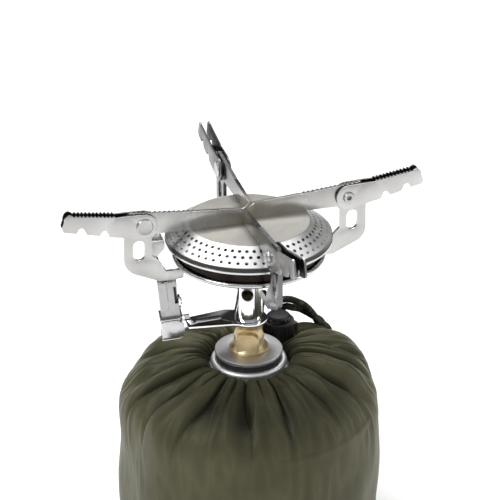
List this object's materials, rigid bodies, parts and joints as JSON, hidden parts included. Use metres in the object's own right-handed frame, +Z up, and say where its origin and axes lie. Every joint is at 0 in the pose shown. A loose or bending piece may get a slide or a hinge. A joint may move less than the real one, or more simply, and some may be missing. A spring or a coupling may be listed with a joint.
{
  "type": "canister stove",
  "caption": "Folding gas stove with a perforated ring burner, hinged serrated pot arms, valve handle and igniter, screwed on a canister in a drawstring cover.",
  "frame": {"origin": "centre of the cover's flat underside, on the axis of the canister and burner", "axes": "+Z up along the canister's axis; the four pot support arms lie along +X, +Y, -X and -Y; the igniter is on the -X side"},
  "size_m": [0.1515, 0.1508, 0.1651],
  "materials": {
    "canister_steel": "satin painted steel",
    "bright_steel": "polished",
    "valve_plastic": "matte",
    "brass": "satin, matte cast and turned",
    "black_rubber": "matte",
    "spring_steel": "satin",
    "cover_fabric": "satin woven nylon",
    "cord_braid": "braided",
    "black_plastic": "ribbed, moulded",
    "grey_aluminium": "fine satin",
    "stainless_sheet": "satin rolled sheet",
    "ring_steel": "bright satin",
    "heat_dark_steel": "heat-darkened",
    "ceramic": "glazed"
  },
  "bodies": {
    "canister": {"canister_shell": "canister_steel", "valve_cup": "bright_steel", "canister_valve_housing": "valve_plastic", "canister_valve_stem": "brass", "canister_valve_gasket": "black_rubber", "canister_valve_spring": "spring_steel", "fabric_cover": "cover_fabric", "drawcord": "cord_braid", "cord_lock_body": "black_plastic", "cord_strand_a": "cord_braid", "cord_strand_b": "cord_braid", "cord_knot": "cord_braid"},
    "cord_lock_button": {"cord_lock_button": "black_plastic"},
    "stove": {"base_disc": "grey_aluminium", "base_pad": "black_rubber", "valve_body": "brass", "socket_seal": "black_rubber", "actuator_pin": "brass", "gas_filter": "spring_steel", "gas_jet": "brass", "gland_nut": "brass", "mixing_tube": "bright_steel", "burner_pan": "heat_dark_steel", "burner_baffle": "stainless_sheet", "flame_ring": "ring_steel", "burner_cap": "stainless_sheet", "support_strip_left_rear": "stainless_sheet", "support_strip_front_right": "stainless_sheet", "hinge_rivets": "bright_steel", "hinge_spacers": "stainless_sheet", "igniter_bracket": "bright_steel", "igniter_housing": "bright_steel", "igniter_clip": "bright_steel", "piezo_module": "black_plastic", "ignition_lead": "black_rubber", "electrode_bracket": "stainless_sheet", "electrode_insulator": "ceramic", "electrode_wire": "spring_steel"},
    "spindle_seal": {"spindle_oring": "black_rubber"},
    "spindle": {"spindle": "brass"},
    "handle": {"handle_wire": "bright_steel"},
    "igniter_button": {"igniter_button": "bright_steel"},
    "arm_right": {"arm_right": "stainless_sheet"},
    "arm_rear": {"arm_rear": "stainless_sheet"},
    "arm_left": {"arm_left": "stainless_sheet"},
    "arm_front": {"arm_front": "stainless_sheet"}
  },
  "joints": [
    {"name": "stove_lift_off", "type": "slide", "parent": "canister", "child": "stove", "axis": [0, 0, 1], "range_m": [0, 0.02]},
    {"name": "arm_right_fold", "type": "hinge", "parent": "stove", "child": "arm_right", "pos_m": [0.0426, 0.002, 0.1528], "axis": [0, -1, 0], "range_deg": [0, 150]},
    {"name": "arm_rear_fold", "type": "hinge", "parent": "stove", "child": "arm_rear", "pos_m": [0.0014, 0.0432, 0.1528], "axis": [1, 0, 0], "range_deg": [0, 150]},
    {"name": "arm_left_fold", "type": "hinge", "parent": "stove", "child": "arm_left", "pos_m": [-0.0438, -0.002, 0.1528], "axis": [0, 1, 0], "range_deg": [0, 150]},
    {"name": "arm_front_fold", "type": "hinge", "parent": "stove", "child": "arm_front", "pos_m": [-0.0026, -0.0432, 0.1528], "axis": [-1, 0, 0], "range_deg": [0, 150]},
    {"name": "spindle_travel", "type": "slide", "parent": "stove", "child": "spindle_seal", "axis": [0.3746, 0.9272, 0], "range_m": [-0.00029, 0.00096]},
    {"name": "valve_turn", "type": "hinge", "parent": "spindle_seal", "child": "spindle", "pos_m": [0, 0, 0.094], "axis": [0.3746, 0.9272, 0], "range_deg": [-210, 690]},
    {"name": "handle_fold", "type": "hinge", "parent": "spindle", "child": "handle", "pos_m": [0.00577, 0.01428, 0.094], "axis": [0.9272, -0.3746, 0], "range_deg": [0, 90]},
    {"name": "igniter_press", "type": "slide", "parent": "stove", "child": "igniter_button", "axis": [-0.0863, 0.0121, 0.9962], "range_m": [0, 0.0032], "stiffness_N_per_m": 1500, "springref_m": -0.004},
    {"name": "cord_lock_press", "type": "slide", "parent": "canister", "child": "cord_lock_button", "axis": [0, 0, -1], "range_m": [0, 0.0025], "stiffness_N_per_m": 800, "springref_m": -0.002}
  ],
  "couplings": [
    {"joint": "valve_turn", "follows": "spindle_travel", "rad_per_m": 12566}
  ]
}
